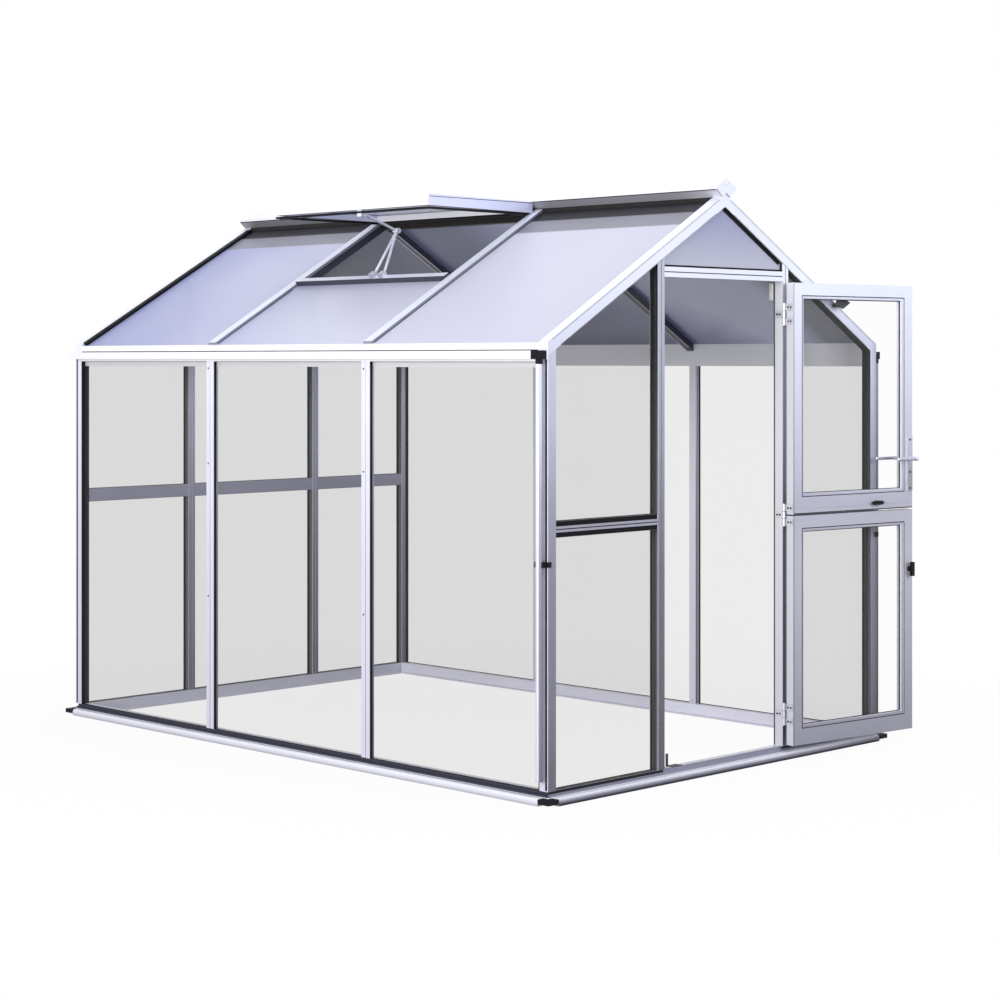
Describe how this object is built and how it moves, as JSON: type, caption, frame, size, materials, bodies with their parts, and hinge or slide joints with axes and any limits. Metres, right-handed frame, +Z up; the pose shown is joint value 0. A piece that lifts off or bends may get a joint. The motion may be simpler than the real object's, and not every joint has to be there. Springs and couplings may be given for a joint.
{
  "type": "glass greenhouse",
  "caption": "Small aluminium greenhouse with clear glass walls, twin-wall pitched roof, an open roof vent, gutters with downpipes and a two-leaf stable door standing open.",
  "frame": {"origin": "middle of the footprint on the ground, which is also the centre of the four anchor bolt holes", "axes": "+Z up, the door gable faces -Y, the length runs along Y and the ridge is over the Y axis"},
  "size_m": [2.1544, 3.2466, 2.3608],
  "materials": {
    "frame_alu": "satin silver",
    "gutter_alu": "satin silver",
    "door_alu": "satin silver",
    "black_plastic": "matte black",
    "seal_rubber": "matte black",
    "clear_glass": "clear, slightly grey",
    "twin_wall": "translucent with fine channels",
    "steel": "satin"
  },
  "bodies": {
    "greenhouse": {"sill_front": "frame_alu", "sill_back": "frame_alu", "sills_side": "frame_alu", "sill_corners": "black_plastic", "corner_posts": "frame_alu", "side_posts": "frame_alu", "eave_rails": "frame_alu", "gutters": "gutter_alu", "gutter_outlets": "black_plastic", "downpipes": "frame_alu", "downpipe_clips": "black_plastic", "rafters": "frame_alu", "roof_bars": "frame_alu", "ridge_beam": "frame_alu", "ridge_cap": "frame_alu", "ridge_end_plates": "frame_alu", "vent_trimmer": "frame_alu", "vent_sash": "frame_alu", "vent_pane": "twin_wall", "vent_opener": "steel", "door_jambs": "frame_alu", "rear_posts": "frame_alu", "door_header": "frame_alu", "midrails": "frame_alu", "glass_left": "clear_glass", "glass_right": "clear_glass", "glass_front": "clear_glass", "glass_back": "clear_glass", "gable_panel": "twin_wall", "roof_panels_left": "twin_wall", "roof_panels_right": "twin_wall", "glazing_seals": "seal_rubber", "door_catch": "black_plastic", "sill_bracket": "steel", "jamb_hinges": "steel"},
    "upper_leaf": {"upper_leaf_frame": "door_alu", "upper_leaf_glass": "clear_glass", "upper_leaf_hinges": "steel", "handle_plates": "steel"},
    "lower_leaf": {"lower_leaf_frame": "door_alu", "lower_leaf_glass": "clear_glass", "lower_leaf_hinges": "steel"},
    "lever": {"lever_handle": "steel"},
    "latch": {"middle_latch": "black_plastic"},
    "knob": {"lower_leaf_knob": "black_plastic"}
  },
  "joints": [
    {"name": "upper_leaf_hinge", "type": "hinge", "parent": "greenhouse", "child": "upper_leaf", "pos_m": [0.369, -1.521, 1.214], "axis": [0, 0, 1], "range_deg": [-173.5, 0]},
    {"name": "lower_leaf_hinge", "type": "hinge", "parent": "greenhouse", "child": "lower_leaf", "pos_m": [0.369, -1.521, 0.5], "axis": [0, 0, 1], "range_deg": [-173.5, 0]},
    {"name": "lever_turn", "type": "hinge", "parent": "upper_leaf", "child": "lever", "pos_m": [1.07237, -1.62831, 1.214], "axis": [-0.1132, -0.9936, 0], "range_deg": [0, 40], "stiffness_Nm_per_rad": 1.2, "springref_deg": -20.05},
    {"name": "latch_turn", "type": "hinge", "parent": "upper_leaf", "child": "latch", "pos_m": [0.86555, -1.62387, 1.033], "axis": [-0.1132, -0.9936, 0], "range_deg": [0, 90]},
    {"name": "knob_turn", "type": "hinge", "parent": "lower_leaf", "child": "knob", "pos_m": [1.07237, -1.62831, 0.742], "axis": [-0.1132, -0.9936, 0], "range_deg": [0, 90]}
  ]
}
